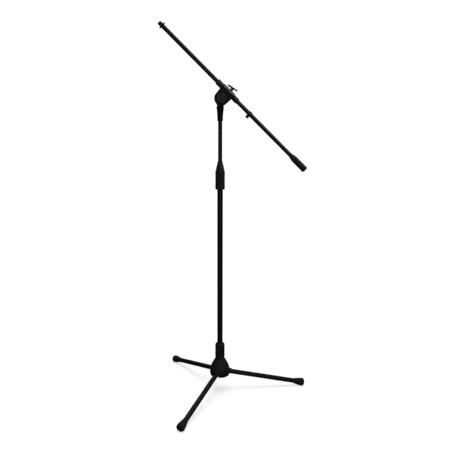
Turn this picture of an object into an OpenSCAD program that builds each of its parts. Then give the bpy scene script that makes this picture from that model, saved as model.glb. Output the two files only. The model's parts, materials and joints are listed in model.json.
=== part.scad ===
// Boom microphone stand: tripod base, telescopic column with a hand clutch, tilting clamp and boom.
// Millimetres, +Z up. The origin is on the column's axis at floor level, and the boom lies along X
// with its microphone end towards -X.

/* [Tripod base] */
// Radius of the circle that the feet stand on
foot_circle_r = 341; // [320:1:360]
// Height at which the leg axes would meet the column's axis
leg_root_z = 89.5; // [88.5:0.5:90.5]
// Turn of the first leg from +X about the column
first_leg_turn = 6.3; // [0:0.1:119]
// Outer diameter of a leg tube
leg_d = 19; // [18:0.1:19.2]
// Largest diameter of a rubber foot
foot_d = 32; // [30:0.5:33]
// Largest diameter of the bell
bell_d = 82; // [80:0.5:84]
// Diameter of the collar above the bell
collar_d = 38.4; // [34:0.2:42]
// Height of the collar's top
collar_top_z = 206.7; // [190:0.1:230]

/* [Column] */
// Outer diameter of the lower tube
lower_d = 22; // [22:0.1:22.4]
// Outer diameter of the upper tube and of the boom
upper_d = 16; // [15.6:0.1:16]
// Wall of the steel tubes
wall = 1.2; // [1:0.1:1.2]
// Height of the clutch grip's lower end
clutch_z = 833.6; // [760:0.1:850]
// Length of the clutch grip
clutch_h = 109.9; // [105:0.1:115]
// Diameter of the clutch grip
clutch_d = 37.3; // [36:0.1:42]
// Height of the neck's lower end
neck_z = 1094.4; // [1080:0.1:1110]
// Length of the upper tube
upper_len = 712; // [650:1:740]

/* [Clamp] */
// Height of the tilt pivot above the neck's lower end
pivot_rise = 83.6; // [82:0.1:86]
// How far the tilt pivot stands in front of the column's axis, along +X
pivot_x = 4.4; // [0:0.1:5]
// Tilt of the boom below the horizontal, rear end down
boom_tilt = 44.24; // [0:0.01:60]
// Distance from the pivot to the boom's axis
boom_rise = 34; // [34:0.1:36]
// Radius of the clamp's cheeks about the pivot
cheek_r = 27; // [26:0.1:28]
// Length of the clamp body along the boom
clamp_len = 57; // [54:0.5:60]
// Lean of the clamp key towards the microphone end
key_lean = 11.5; // [0:0.5:14]
// Length of the clamp key's bar
key_len = 43; // [36:1:48]

/* [Boom] */
// Distance from the pivot to the microphone end's tip, along the boom
mic_reach = 353.4; // [330:0.1:380]
// Distance from the pivot to the rear end, along the boom
rear_reach = 419.4; // [400:0.1:440]
// Major diameter of the microphone thread
thread_d = 15.88; // [15.8:0.01:15.9]
// Diameter of the lock ring behind the thread
ring_d = 28; // [24:0.5:30]
// Diameter of the rear grip
grip_d = 25; // [24:0.5:28]
// Place of the cable clip along the boom, from the pivot
clip_x = 117; // [100:1:150]

/* [Hidden] */
LEGS = [0:2];

$fn = 72;
fit = 0.05;    // radial clearance of a pin or shaft in its bore
gap = 0.3;     // clearance between faces of pieces that move past each other
over = 1;      // overshoot of a cutting solid
far = 60;      // past the clamp on any side

// Legs
pin_r = 20;          // radius of the circle of hinge pins
pin_d = 6;
foot_rest = 16.7;    // height of a leg's axis at the foot circle
leg_dip = atan((leg_root_z - foot_rest) / foot_circle_r);
pin_z = leg_root_z - pin_r * tan(leg_dip);
leg_reach = (foot_circle_r - pin_r) / cos(leg_dip);
tube_start = 8;      // from the pin to the leg tube's inner end
in_foot = 4;         // how far a leg tube runs past the foot circle
lug_gap = 9.9;       // half the space between a pair of lugs
lug_t = 4;

// Spider and bell
plate_z = 95.5;      // underside of the spider's plate
hub_top = 112;       // shoulder that the lower tube stands on
spigot_top = 126;
bolt_hole_r = 4.2;   // hole for the base bolt
bolt_head_z = 74.9;  // lower face of the base bolt's head
bolt_head_h = 5.5;
bell_wall = 3;
bell_rim_z = 69.4;
bell_wide_z = 84;    // height of the bell's widest ring
bell_top_z = 143.2;
bell_neck_r = 18.2;  // radius at the bell's top
slot_w = 20.6;       // width of a leg slot

// Column
lower_top = clutch_z + 34.4;
clutch_top = clutch_z + clutch_h;
upper_top = neck_z + 22;
upper_z = upper_top - upper_len;
stud_r = 5;          // bore of the neck on its stud
pivot_z = neck_z + pivot_rise;
core_r = 13.6;       // bore of the clutch core, on the nipple's thread
core_out_r = 15.5;   // outside of the clutch core
nipple_z = clutch_z + 12.4;

// Neck and clamp
tongue_t = 16;       // thickness of the neck's tongue
tongue_r = 21.5;
tongue_drop = 30;    // from the pivot down to the neck's shoulder
disc_t = 1.1;        // thickness of a friction disc
clamp_w = 34;        // width of the clamp body across the cheeks
cheek_in = 9.25;     // half the space between the cheeks
ridge_rise = 13;     // from the boom's axis to the ridge on top of the clamp
bolt_d = 10;
sleeve_r = 11.3;
key_x = 8.7;         // where the key's axis meets the boom's axis
key_rise = 23.5;     // from the boom's axis to the key bar, along the key
key_d = 8;
shoe_r = 4.6;
shoe_top = 10.2;     // top of the shoe, from the boom's axis along the key
washer_t = 1.3;      // washer between the clamp body and the tilt knob
knob_y = clamp_w / 2 + washer_t + gap;
insert_r = 8;        // nut moulded into the tilt knob
tube_end = 17.4;     // from the microphone end's tip to the boom tube
ring_seat_r = thread_d / 2 - 0.29; // pitch radius of the thread, where the lock ring runs on it
weight_len = 37.8;
weight_x = rear_reach - 46.8;

module ring(r_out, r_in, h) {
    difference() {
        cylinder(r = r_out, h = h);
        translate([0, 0, -over]) cylinder(r = r_in, h = h + 2 * over);
    }
}

// All the space below height z, as a cutting solid
module below(z) {
    r = 500;
    translate([0, 0, z - r]) cylinder(r = r, h = r);
}

// Puts a solid drawn along +Z onto the X axis, from x
module along_x(x = 0) {
    translate([x, 0, 0]) rotate([0, 90, 0]) children();
}

// Puts a solid drawn along +Z onto the Y axis, from y
module along_y(y = 0) {
    translate([0, y, 0]) rotate([-90, 0, 0]) children();
}

// Frame of leg k: origin at the hinge pin, +X out along the leg
module on_leg(k) {
    rotate([0, 0, first_leg_turn + 120 * k])
        translate([pin_r, 0, pin_z]) rotate([0, leg_dip, 0]) children();
}

// Frame of the clamp: origin at the tilt pivot, +X along the boom to its rear end
module on_clamp() {
    translate([pivot_x, 0, pivot_z]) rotate([0, boom_tilt, 0]) children();
}

// Frame of the boom: as the clamp's, with the boom on the X axis
module on_boom() {
    on_clamp() translate([0, 0, boom_rise]) children();
}

// Frame of the clamp key: origin on the boom's axis, +Z up the key's stem
module on_key() {
    on_boom() translate([key_x, 0, 0]) rotate([0, -key_lean, 0]) children();
}

// ---------------------------------------------------------------- tripod base

function bell_r(z) = bell_neck_r
    + (bell_d / 2 - bell_neck_r) * sin(90 * (bell_top_z - z) / (bell_top_z - bell_wide_z));

module bell_profile(inset) {
    steps = 14;
    rim_drop = bell_wide_z - bell_rim_z;
    tuck = 4;        // how far the bell draws in from its widest ring to its rim
    side = [for (i = [0:steps])
        let (z = bell_top_z - inset - (bell_top_z - inset - bell_wide_z) * i / steps)
        [bell_r(z) - inset, z]];
    foot = [for (a = [15:15:90])
        [bell_d / 2 - inset - tuck * (1 - cos(a)), bell_wide_z - (rim_drop + inset) * sin(a)]];
    last = foot[len(foot) - 1];
    rotate_extrude()
        polygon(concat([[0, bell_top_z - inset]], side, foot, [[0, last[1]]]));
}

// Tunnel over a leg where it leaves the bell: round above, straight sides below
module leg_tunnel(r, x0, x1, drop) {
    along_x(x0) cylinder(r = r, h = x1 - x0);
    translate([x0, -r, -drop]) cube([x1 - x0, 2 * r, drop]);
}

module base_bell() {
    shroud_r = slot_w / 2 + 2.2;
    shroud_start = 8;
    shroud_end = 27.4;
    shroud_drop = 9;
    seat_r = 15;
    beyond = 60;         // past the bell's outside, and past its rim
    color("#141415") difference() {
        union() {
            difference() {
                union() {
                    bell_profile(0);
                    for (k = LEGS) on_leg(k) leg_tunnel(shroud_r, shroud_start, shroud_end, shroud_drop);
                }
                bell_profile(bell_wall);
            }
            translate([0, 0, hub_top]) cylinder(r = seat_r, h = bell_top_z - hub_top);
        }
        for (k = LEGS) on_leg(k) leg_tunnel(slot_w / 2, -2, beyond, beyond);
        below(bell_rim_z);
        translate([0, 0, hub_top - over]) cylinder(r = lower_d / 2 + fit, h = beyond);
    }
}

module base_collar() {
    r = collar_d / 2;
    h = collar_top_z - bell_top_z;
    undercut = 1.3;
    shoulder = 9.5;      // height of the rounded shoulder
    steps = 6;
    top_r = lower_d / 2 + 0.6;
    color("#161617") difference() {
        rotate_extrude() polygon(concat(
            [[0, bell_top_z], [r - undercut, bell_top_z], [r - undercut, bell_top_z + 1.5]],
            [[r, bell_top_z + 4]],
            [for (i = [0:steps]) let (a = 90 * i / steps)
                [top_r + (r - top_r) * cos(a), collar_top_z - shoulder + shoulder * sin(a)]],
            [[0, collar_top_z]]
        ));
        translate([0, 0, bell_top_z - over]) cylinder(r = lower_d / 2 + fit, h = h + 2 * over);
    }
}

module lug() {
    lug_r = 9.5;
    along_y() cylinder(r = lug_r, h = lug_t);
    translate([-lug_r, 0, 0]) cube([2 * lug_r, lug_t, plate_z - pin_z + 0.5]);
}

module leg_spider() {
    plate_r = 35.4;
    plate_t = 4;
    hub_r = 16;
    boss_r = 9;
    boss_z = 82;
    pad = [3, 16, 4];    // pad that a leg's top bears on when it is spread
    pad_x = 8.6;
    color("#2a2a2c") difference() {
        union() {
            translate([0, 0, plate_z]) cylinder(r = plate_r, h = plate_t);
            translate([0, 0, plate_z]) cylinder(r = hub_r, h = hub_top - plate_z);
            translate([0, 0, plate_z]) cylinder(r = lower_d / 2 - wall - fit, h = spigot_top - plate_z);
            translate([0, 0, boss_z]) cylinder(r = boss_r, h = plate_z - boss_z + 0.5);
            for (k = LEGS) {
                rotate([0, 0, first_leg_turn + 120 * k]) translate([pin_r, 0, pin_z])
                    for (y = [lug_gap, -lug_gap - lug_t]) translate([0, y, 0]) lug();
                on_leg(k) translate([pad_x, -pad[1] / 2, leg_d / 2 + gap]) cube(pad);
            }
        }
        for (k = LEGS) on_leg(k) along_y(-20) cylinder(d = pin_d + 0.04, h = 40);
        translate([0, 0, boss_z - over]) cylinder(r = bolt_hole_r, h = spigot_top - boss_z + 2 * over);
    }
}

module leg_pins() {
    half = lug_gap + lug_t;
    head_t = 1.2;
    head_d = pin_d + 2.4;
    color("silver") for (k = LEGS) on_leg(k) {
        along_y(-half - head_t) cylinder(d = pin_d, h = 2 * (half + head_t));
        for (y = [-half - head_t, half]) along_y(y) cylinder(d = head_d, h = head_t);
    }
}

module base_bolt() {
    head_r = 7.5;        // across the hexagon's corners, halved
    shank_r = bolt_hole_r - 0.25;
    shank = 69.1;
    color("silver") translate([0, 0, bolt_head_z]) {
        cylinder(r = head_r, h = bolt_head_h, $fn = 6);
        cylinder(r = shank_r, h = shank);
    }
}

module base_washer() {
    color("silver") translate([0, 0, bolt_head_z + bolt_head_h]) ring(8, bolt_hole_r, 1.6);
}

module lower_plug() {
    thread_r = 4;
    h = 20;
    color("silver") translate([0, 0, spigot_top]) ring(lower_d / 2 - wall - 0.02, thread_r, h);
}

module lower_tube() {
    color("#0c0c0d") translate([0, 0, hub_top]) ring(lower_d / 2, lower_d / 2 - wall, lower_top - hub_top);
}

// ---------------------------------------------------------------- legs

module leg_tube(k) {
    color("#0c0c0d") on_leg(k) along_x(tube_start)
        ring(leg_d / 2, leg_d / 2 - wall, leg_reach + in_foot - tube_start);
}

module leg_knuckle(k) {
    r = leg_d / 2;
    round_r = 9.3;
    width = 18.4;
    plug = 26;
    wide = 40;           // larger than the knuckle
    color("#1b1b1c") on_leg(k) difference() {
        union() {
            intersection() {
                along_x(-round_r) cylinder(r = r, h = round_r + tube_start);
                union() {
                    along_y(-r) cylinder(r = round_r, h = 2 * r);
                    translate([0, -r, -round_r]) cube([tube_start, 2 * r, 2 * round_r]);
                }
                translate([-wide / 2, -width / 2, -wide / 2]) cube([wide, width, wide]);
            }
            along_x(tube_start - 0.5) cylinder(r = r - wall - 0.02, h = plug + 0.5);
        }
        along_y(-wide / 2) cylinder(r = pin_d / 2 + fit, h = wide);
    }
}

module leg_foot(k) {
    r = foot_d / 2;
    back = -27;          // inner end of the rubber, from the foot circle
    wide = 8;            // where the foot is widest
    corner = 7;          // rounding of the outer edge
    neck_r = leg_d / 2 + 1.7;
    steps = 10;
    flare = [for (i = [0:steps]) let (t = i / steps)
        [neck_r + (r - neck_r) * sin(90 * t), back + 2 + (wide - back - 2) * t]];
    edge = [for (a = [15:15:90]) [r - corner * (1 - cos(a)), wide + corner * sin(a)]];
    color("#101011") difference() {
        on_leg(k) along_x(leg_reach) difference() {
            rotate_extrude() polygon(concat(
                [[0, back], [neck_r - 1.2, back], [neck_r, back + 0.8]],
                flare, edge, [[0, wide + corner]]
            ));
            translate([0, 0, back - over]) cylinder(r = leg_d / 2 + 0.02, h = in_foot - back + over);
        }
        below(0);
    }
}

// ---------------------------------------------------------------- column and clutch

module clutch_nipple() {
    h = 20;
    color("#3a3a3c") translate([0, 0, nipple_z]) ring(core_r - 0.1, lower_d / 2 + 0.02, h);
}

module clutch_collet() {
    bore = upper_d / 2 + fit;
    plug = 33;
    head = 4.5;
    head_r = 12.8;
    cone = 26;
    slit = 1.6;
    color("#202021") translate([0, 0, lower_top]) difference() {
        union() {
            translate([0, 0, -plug]) cylinder(r = lower_d / 2 - wall - 0.02, h = plug + over);
            cylinder(r = head_r, h = head);
            translate([0, 0, head]) cylinder(r1 = head_r, r2 = 10, h = cone);
        }
        translate([0, 0, -plug - over]) cylinder(r = bore, h = plug + head + cone + 2 * over);
        // slits that let the cone close on the tube
        for (a = [15:60:135]) rotate([0, 0, a])
            translate([-2 * head_r, -slit / 2, head]) cube([4 * head_r, slit, cone + over]);
    }
}

module clutch_core() {
    start = nipple_z + 2;
    seat = lower_top + 5;    // where the bore turns into the cone
    cone = 26;
    color("#3a3a3c") difference() {
        translate([0, 0, start]) cylinder(r = core_out_r, h = seat + cone - start);
        translate([0, 0, start - over]) cylinder(r = core_r, h = seat - start + over);
        translate([0, 0, seat - 0.01]) cylinder(r1 = 13.2, r2 = 10.4, h = cone + 0.02);
    }
}

module clutch_grip() {
    r = clutch_d / 2;
    top_r = upper_d / 2 + 0.9;
    waist = 0.35;        // how far the grip draws in at its middle
    body = [15, 64];     // heights between which it does so
    lip = 9;
    round = 4;           // rounding of the heel
    pocket = 56.4;       // depth of the pocket that holds the core
    cone = 24;
    steps = 10;
    side = [for (i = [0:steps]) let (t = i / steps)
        [r - waist * sin(180 * t), body[0] + (body[1] - body[0]) * t]];
    heel = [for (a = [90:-22.5:0]) [r - round + round * cos(a), round - round * sin(a)]];
    color("#151516") translate([0, 0, clutch_z]) difference() {
        rotate_extrude() polygon(concat(
            [[0, 0]], heel, side,
            [[r - 1, body[1] + 4], [top_r, clutch_h - 0.8], [top_r - 0.5, clutch_h], [0, clutch_h]]
        ));
        translate([0, 0, -over]) cylinder(r = lower_d / 2 + 0.4, h = lip + 2 * over);
        translate([0, 0, lip]) cylinder(r = core_out_r, h = pocket);
        translate([0, 0, lip + pocket - 0.01]) cylinder(r1 = core_out_r, r2 = 9, h = cone);
        translate([0, 0, lip + pocket]) cylinder(r = upper_d / 2 + gap, h = clutch_h);
    }
}

module upper_tube() {
    color("#0c0c0d") translate([0, 0, upper_z]) ring(upper_d / 2, upper_d / 2 - wall, upper_len);
}

module tube_guide() {
    flange = 8;
    plug = 22;
    color("#202021") translate([0, 0, upper_z]) {
        translate([0, 0, -flange]) cylinder(r = lower_d / 2 - wall - 0.1, h = flange);
        translate([0, 0, -0.5]) cylinder(r = upper_d / 2 - wall - 0.02, h = plug + 0.5);
    }
}

module neck_stud() {
    plug = 26;
    stud = 18;
    color("silver") {
        translate([0, 0, upper_top - plug]) cylinder(r = upper_d / 2 - wall - 0.02, h = plug);
        translate([0, 0, upper_top - 0.5]) cylinder(r = stud_r - fit, h = stud + 0.5);
    }
}

// ---------------------------------------------------------------- neck and clamp

// Point where a line from p touches the circle of radius r at c, on the given side (1 or -1)
function tangent_point(c, r, p, side) =
    let (d = p - c, far = norm(d), a = atan2(d[1], d[0]) + side * acos(r / far))
    c + r * [cos(a), sin(a)];

module neck() {
    foot_r = 10.7;
    shoulder_z = pivot_z - tongue_drop;
    shoulder_r = 14.6;
    into = 1.5;          // how far the tongue's root runs into the flare
    root_w = 13;         // half width of the tongue at its root
    steps = 9;
    flare_z = neck_z + 12;
    side = [for (i = [0:steps]) let (t = i / steps)
        [foot_r + (shoulder_r - foot_r) * pow(t, 1.5), flare_z + (shoulder_z - flare_z) * t]];
    c = [pivot_x, pivot_z];
    left = [-root_w, shoulder_z - into];
    right = [root_w, shoulder_z - into];
    touch_l = tangent_point(c, tongue_r, left, -1);
    touch_r = tangent_point(c, tongue_r, right, 1);
    color("#121213") difference() {
        union() {
            rotate_extrude() polygon(concat(
                [[0, neck_z], [foot_r - 0.9, neck_z], [foot_r, neck_z + 1.6]],
                side, [[0, shoulder_z]]
            ));
            intersection() {
                along_y(-tongue_t / 2) mirror([0, 1, 0]) linear_extrude(tongue_t) union() {
                    translate(c) circle(r = tongue_r);
                    polygon([left, right, touch_r, c, touch_l]);
                }
                translate([0, 0, shoulder_z - into]) cylinder(r = 2 * tongue_r, h = 80);
            }
        }
        translate([0, 0, neck_z - over]) cylinder(r = upper_d / 2 + fit, h = upper_top - neck_z + over + 0.1);
        translate([0, 0, neck_z]) cylinder(r = stud_r, h = upper_top - neck_z + 19);
        translate([pivot_x, 0, pivot_z]) along_y(-tongue_t) cylinder(r = bolt_d / 2 + fit, h = 2 * tongue_t);
    }
}

module friction_discs() {
    color("#4a3a2c") translate([pivot_x, 0, pivot_z])
        for (y = [-tongue_t / 2 - disc_t, tongue_t / 2])
            along_y(y) ring(tongue_r - 1.5, bolt_d / 2 + gap, disc_t);
}

// Side outline of the clamp body: round cheeks drawn up to a block around the boom
module clamp_outline() {
    half = clamp_len / 2;
    low = boom_rise - 12.5;
    high = boom_rise + ridge_rise;
    touch = tangent_point([0, 0], cheek_r, [half, low], -1);
    circle(r = cheek_r, $fn = 96);
    polygon([[half, low], touch, [0, 0], [-touch[0], touch[1]], [-half, low],
        [-half, high - 2], [-half + 2, high], [half - 2, high], [half, high - 2]]);
}

// Cross-section of the clamp body: bevelled top edges, then a flatter slope up to the ridge
module clamp_section() {
    w = clamp_w / 2;
    bevel = 6;           // width of the bevel along each top edge
    bevel_z = boom_rise + 4.8;
    ridge = 6;           // half the width of the flat ridge
    top = boom_rise + ridge_rise;
    polygon([[-w, -far], [w, -far], [w, bevel_z], [w - bevel, bevel_z + bevel],
        [ridge, top], [-ridge, top], [bevel - w, bevel_z + bevel], [-w, bevel_z]]);
}

module clamp_body() {
    w = clamp_w / 2;
    throat_r = tongue_r + 0.8;
    throat_top = 19.6;   // height of the throat above the pivot
    boss_r = 6.5;        // boss that the key screws into
    boss_h = 16;
    color("#131314") on_clamp() difference() {
        union() {
            intersection() {
                along_y(-w) mirror([0, 1, 0]) linear_extrude(clamp_w) clamp_outline();
                translate([-far, 0, 0]) rotate([90, 0, 90]) linear_extrude(2 * far) clamp_section();
            }
            translate([key_x, 0, boom_rise]) rotate([0, -key_lean, 0]) cylinder(r = boss_r, h = boss_h);
        }
        along_x(-far) translate([-boom_rise, 0, 0]) cylinder(r = sleeve_r + fit, h = 2 * far);
        // throat that the neck's tongue turns in
        along_y(-cheek_in) cylinder(r = throat_r, h = 2 * cheek_in);
        translate([-far, -cheek_in, -far]) cube([2 * far, 2 * cheek_in, far + throat_top]);
        along_y(-far) cylinder(r = bolt_d / 2 + fit, h = 2 * far);
        translate([key_x, 0, boom_rise]) rotate([0, -key_lean, 0]) cylinder(d = key_d + 2 * fit, h = far);
    }
}

module boom_sleeve() {
    half = clamp_len / 2;
    front = -54;
    rear = 52.5;
    tab = [4, 6, 7];     // latch tab on top of the microphone end
    screw_hole_r = 5;
    color("#1d1d1e") on_boom() difference() {
        union() {
            along_x(front) rotate_extrude() polygon([
                [0, 0], [sleeve_r - 1.4, 0], [sleeve_r + 0.1, 1.6], [sleeve_r, -front - half],
                [sleeve_r, half - front], [sleeve_r - 0.5, half - front + 0.1],
                [sleeve_r - 0.7, rear - front - 2], [sleeve_r - 2.2, rear - front], [0, rear - front]
            ]);
            translate([front + 1.5, -tab[1] / 2, 6]) cube(tab);
        }
        along_x(front - over) cylinder(r = upper_d / 2 + 0.06, h = rear - front + 2 * over);
        translate([key_x, 0, 0]) rotate([0, -key_lean, 0]) cylinder(r = screw_hole_r, h = 20);
    }
}

module clamp_shoe() {
    color("goldenrod") difference() {
        on_key() cylinder(r = shoe_r, h = shoe_top);
        on_boom() along_x(-far) cylinder(r = upper_d / 2 + gap, h = 2 * far);
    }
}

module pivot_bolt() {
    head_r = 8;
    head_t = 3.6;
    tail = 15;           // length beyond the clamp's far side
    socket_r = 3.4;
    socket = 2.4;
    w = clamp_w / 2;
    color("silver") on_clamp() difference() {
        union() {
            along_y(-w - head_t) cylinder(r = head_r, h = head_t);
            along_y(-w - 0.5) cylinder(d = bolt_d, h = clamp_w + tail + 0.5);
        }
        along_y(-w - head_t - over) cylinder(r = socket_r, h = socket + over, $fn = 6);
    }
}

// Raised ring around the pivot bolt's head
module pivot_cap() {
    in_r = 9;
    out_r = 17.5;
    crown_r = 14.4;      // radius at the crown's middle
    crown = [3, 2.6];    // half its width, and its height
    color("#2b2b2c") on_clamp() translate([0, -clamp_w / 2, 0]) rotate([90, 0, 0]) rotate_extrude()
        polygon(concat(
            [[in_r, 0], [out_r, 0], [out_r, 1.6]],
            [for (a = [15:15:165]) [crown_r + crown[0] * cos(a), 1.6 + crown[1] * sin(a)]],
            [[crown_r - crown[0] - 0.1, 1.4], [in_r, 1]]
        ));
}

module knob_washer() {
    color("silver") on_clamp() along_y(clamp_w / 2) ring(11, bolt_d / 2 + 0.2, washer_t);
}

module knob_insert() {
    color("silver") on_clamp() along_y(knob_y) ring(insert_r, bolt_d / 2 + fit, 13);
}

module tilt_knob() {
    lobes = 6;
    h = 17;
    core_radius = 17;
    lobe_r = 5;
    pocket = 14;         // depth of the pocket that holds the insert
    color("#161617") on_clamp() along_y(knob_y) difference() {
        linear_extrude(h) union() {
            circle(r = core_radius);
            for (i = [0:lobes - 1]) rotate((i + 0.5) * 360 / lobes)
                translate([core_radius - 1, 0]) circle(r = lobe_r);
        }
        translate([0, 0, -over]) cylinder(r = insert_r + 0.02, h = pocket + over);
    }
}

// ---------------------------------------------------------------- clamp key

module key_screw() {
    foot = shoe_top + 0.2;
    color("silver") on_key() translate([0, 0, foot]) cylinder(d = key_d, h = key_rise - foot);
}

module key_bar() {
    r = 3.4;
    reach = key_len / 2 - r;
    hub_r = 6.2;
    skirt = 6.4;         // how far the hub reaches down from the bar's axis
    color("#121213") on_key() difference() {
        union() {
            translate([0, 0, key_rise - skirt]) cylinder(r = hub_r, h = skirt + r);
            translate([0, 0, key_rise]) along_x(-reach) cylinder(r = r, h = 2 * reach);
            for (x = [-reach, reach]) translate([x, 0, key_rise]) sphere(r = r);
        }
        cylinder(d = key_d + 0.04, h = key_rise);
    }
}

// ---------------------------------------------------------------- boom

module boom_tube() {
    start = tube_end - mic_reach;
    color("#0c0c0d") on_boom() along_x(start)
        ring(upper_d / 2, upper_d / 2 - wall, weight_x - 0.2 - start);
}

module mic_thread() {
    tip = 0.8;           // bevel at the tip
    free = 13.3;         // stretch in front of the lock ring that takes a microphone clip
    plug = 26;
    color("#2f2f31") on_boom() along_x(-mic_reach) {
        cylinder(d1 = thread_d - 2 * tip, d2 = thread_d, h = tip);
        translate([0, 0, tip - 0.01]) cylinder(d = thread_d, h = free - tip + 0.01);
        translate([0, 0, free - 0.01]) cylinder(r = ring_seat_r, h = tube_end - free + 0.01);
        translate([0, 0, tube_end - 0.01]) cylinder(r = upper_d / 2 - wall - 0.02, h = plug);
    }
}

module lock_ring() {
    start = 13.8;        // from the tip
    h = 3.3;
    bevel = 0.6;
    r = ring_d / 2;
    color("#1a1a1b") on_boom() along_x(start - mic_reach) difference() {
        rotate_extrude() polygon([[0, 0], [r - 0.5, 0], [r, bevel], [r, h - bevel], [r - 0.5, h], [0, h]]);
        translate([0, 0, -over]) cylinder(r = ring_seat_r + 0.06, h = h + 2 * over);
    }
}

module rear_grip() {
    len = 80.7;
    bore = 72;
    r = grip_d / 2;
    edge = 2.5;          // rounding of the rear edge
    start_r = upper_d / 2 + 0.9;
    taper = 21;
    steps = 8;
    color("#161617") on_boom() along_x(rear_reach - len) difference() {
        rotate_extrude() polygon(concat(
            [[0, 0], [start_r - 0.4, 0]],
            [for (i = [0:steps]) let (t = i / steps)
                [start_r + (r - start_r) * (1 - cos(180 * t)) / 2, 0.6 + (taper - 0.6) * t]],
            [for (a = [0:22.5:90]) [r - edge * (1 - cos(a)), len - edge * (1 - sin(a))]],
            [[0, len]]
        ));
        translate([0, 0, -over]) cylinder(r = upper_d / 2 + 0.02, h = bore + over);
    }
}

module rear_weight() {
    color("silver") on_boom() along_x(weight_x) cylinder(r = upper_d / 2 - 0.02, h = weight_len);
}

module cable_clip() {
    w = 13;              // width of the ring along the boom
    ring_r = 10;
    block = [12, 12, 11.3];  // cable holder below the ring
    block_z = -19.3;
    hold_r = 3.9;        // radius of the cable's channel
    hold_z = -13.9;
    mouth = 6.2;
    color("#101011") on_boom() translate([clip_x, 0, 0]) difference() {
        union() {
            along_x(-w / 2) cylinder(r = ring_r, h = w);
            translate([-block[0] / 2, -block[1] / 2, block_z]) cube(block);
        }
        along_x(-w) cylinder(r = upper_d / 2 + 0.08, h = 2 * w);
        along_x(-w) translate([-hold_z, 0, 0]) cylinder(r = hold_r, h = 2 * w);
        translate([-w, 0, hold_z - mouth / 2]) cube([2 * w, 20, mouth]);
    }
}

base_bell();
base_collar();
leg_spider();
leg_pins();
base_bolt();
base_washer();
lower_plug();
lower_tube();
clutch_nipple();
clutch_collet();
for (k = LEGS) {
    leg_tube(k);
    leg_knuckle(k);
    leg_foot(k);
}
clutch_grip();
clutch_core();
upper_tube();
tube_guide();
neck_stud();
neck();
friction_discs();
clamp_body();
boom_sleeve();
clamp_shoe();
pivot_bolt();
pivot_cap();
knob_washer();
tilt_knob();
knob_insert();
key_screw();
key_bar();
boom_tube();
mic_thread();
rear_grip();
rear_weight();
lock_ring();
cable_clip();
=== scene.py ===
import json
import math

import bpy
from bpy.props import FloatProperty, FloatVectorProperty, PointerProperty
from mathutils import Matrix, Vector


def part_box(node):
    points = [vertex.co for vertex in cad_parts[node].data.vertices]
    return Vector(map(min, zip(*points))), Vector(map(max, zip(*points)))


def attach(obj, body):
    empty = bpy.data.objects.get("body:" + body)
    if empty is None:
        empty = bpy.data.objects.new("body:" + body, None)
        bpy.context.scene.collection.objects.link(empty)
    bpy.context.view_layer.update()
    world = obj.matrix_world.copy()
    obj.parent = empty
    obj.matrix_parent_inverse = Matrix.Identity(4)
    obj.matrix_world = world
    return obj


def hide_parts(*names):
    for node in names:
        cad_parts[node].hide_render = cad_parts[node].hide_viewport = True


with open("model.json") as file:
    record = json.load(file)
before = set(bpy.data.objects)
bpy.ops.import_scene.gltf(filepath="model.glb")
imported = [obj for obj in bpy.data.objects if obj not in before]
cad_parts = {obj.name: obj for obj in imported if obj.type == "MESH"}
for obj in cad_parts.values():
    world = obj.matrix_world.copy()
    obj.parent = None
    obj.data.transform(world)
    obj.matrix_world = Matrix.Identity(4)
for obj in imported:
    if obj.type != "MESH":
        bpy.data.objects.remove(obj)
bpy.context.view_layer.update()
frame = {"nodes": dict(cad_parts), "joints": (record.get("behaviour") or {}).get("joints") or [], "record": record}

bl_info = {
    "name": "Boom microphone stand",
    "version": (1, 0, 0),
    "blender": (4, 5, 0),
    "location": "View3D > Sidebar > Stand",
    "description": "Builds the visible pieces and finishes of a boom microphone stand",
    "category": "Add Mesh",
}

MM = 0.001
LEGS = (1, 2, 3)
JOINTS = {joint["name"]: joint for joint in frame["joints"]}


# ---------------------------------------------------------------- places taken from the frame

def place_on(origin, way, up):
    """A place whose Z runs along a line, and whose X points up from it."""
    z = Vector(way).normalized()
    y = z.cross(Vector(up)).normalized()
    turn = Matrix((y.cross(z), y, z)).transposed().to_4x4()
    return Matrix.Translation(Vector(origin)) @ turn


def corners(node):
    """The vertices of a node, in metres."""
    return [vertex.co for vertex in frame["nodes"][node].data.vertices]


def middle(node):
    """The mean of a node's vertices."""
    points = corners(node)
    return sum(points, Vector()) / len(points)


def along(node, place):
    """Lowest and highest distance of a node along a place's Z, in millimetres."""
    back = place.inverted()
    distances = [(back @ point).z / MM for point in corners(node)]
    return min(distances), max(distances)


def radius(node, place):
    """Greatest distance of a node from a place's Z, in millimetres."""
    back = place.inverted()
    return max((back @ point).xy.length for point in corners(node)) / MM


PIVOT_AT = Vector(JOINTS["boom_tilt"]["pos_m"])
BOOM_ALONG = Vector(JOINTS["boom_slide"]["axis"])
BOOM_UP = BOOM_ALONG.cross(Vector((0, 1, 0)))
BOOM_RISE = (middle("boom_tube") - PIVOT_AT).dot(BOOM_UP.normalized())
KEY_ALONG = Vector(JOINTS["clamp_key_turn"]["axis"])

COLUMN = Matrix.Identity(4)
CLAMP = place_on(PIVOT_AT, BOOM_ALONG, BOOM_UP)
BOOM = CLAMP @ Matrix.Translation((BOOM_RISE, 0, 0))
PIVOT = place_on(PIVOT_AT, (0, -1, 0), BOOM_UP)
KEY = place_on(JOINTS["clamp_key_turn"]["pos_m"], KEY_ALONG, BOOM_ALONG)

# radii and lengths that several pieces share, in millimetres
LOOSE_FIT = 0.05
TIGHT_FIT = 0.02
BOLT_R = 5
KEY_STUD_R = 4
CLAMP_HALF = 28.5


def leg_place(k):
    """A leg's pin, with Z running out along the leg."""
    pin = Vector(JOINTS[f"leg_{k}_fold"]["pos_m"])
    return place_on(pin, middle(f"leg_tube_{k}") - pin, (0, 0, 1))


# ---------------------------------------------------------------- modelling steps

def clear_selection():
    bpy.ops.object.select_all(action="DESELECT")


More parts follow.
